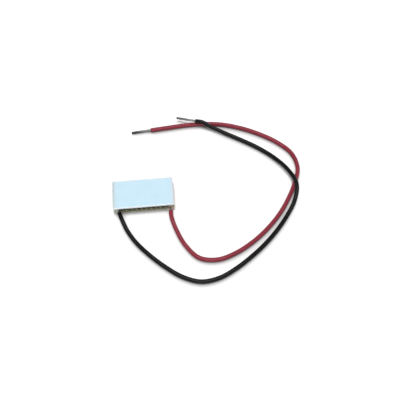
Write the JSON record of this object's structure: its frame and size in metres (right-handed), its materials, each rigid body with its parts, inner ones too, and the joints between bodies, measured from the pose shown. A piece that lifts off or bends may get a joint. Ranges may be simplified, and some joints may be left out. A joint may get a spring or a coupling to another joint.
{
  "type": "thermoelectric cooling module",
  "caption": "Flat cooling module: semiconductor pellets and copper tabs between two pale ceramic plates, with a red and a black lead soldered in at the front corners.",
  "frame": {"origin": "centre of the hot side plate's outer face, which the module rests on", "axes": "+Z from the hot side plate up to the cold side plate; +X along the plates' length, towards the red lead; -Y is the side that the leads leave from"},
  "size_m": [0.0635, 0.0609, 0.004],
  "materials": {
    "ceramic_plate": "satin",
    "p_pellet": "satin",
    "n_pellet": "satin",
    "copper_tab": "satin",
    "solder": "satin",
    "tinned_wire": "satin",
    "black_insulation": "satin",
    "red_insulation": "satin"
  },
  "bodies": {
    "root": {"hot_side_plate": "ceramic_plate", "cold_side_plate": "ceramic_plate", "p_pellets_row_1": "p_pellet", "p_pellets_row_2": "p_pellet", "p_pellets_row_3": "p_pellet", "p_pellets_row_4": "p_pellet", "p_pellets_row_5": "p_pellet", "p_pellets_row_6": "p_pellet", "n_pellets_row_1": "n_pellet", "n_pellets_row_2": "n_pellet", "n_pellets_row_3": "n_pellet", "n_pellets_row_4": "n_pellet", "n_pellets_row_5": "n_pellet", "n_pellets_row_6": "n_pellet", "lower_tabs_pair_1": "copper_tab", "lower_tabs_pair_2": "copper_tab", "lower_tabs_pair_3": "copper_tab", "upper_tabs_pair_1": "copper_tab", "upper_tabs_pair_2": "copper_tab", "front_bridge_tabs": "copper_tab", "rear_bridge_tabs": "copper_tab", "black_lead_tab": "copper_tab", "red_lead_tab": "copper_tab", "lower_solder_joints": "solder", "upper_solder_joints": "solder", "black_lead_solder": "solder", "red_lead_solder": "solder", "black_lead_core": "tinned_wire", "red_lead_core": "tinned_wire", "black_lead_insulation": "black_insulation", "red_lead_insulation": "red_insulation", "black_tinned_end": "tinned_wire", "red_tinned_end": "tinned_wire"}
  },
  "joints": []
}
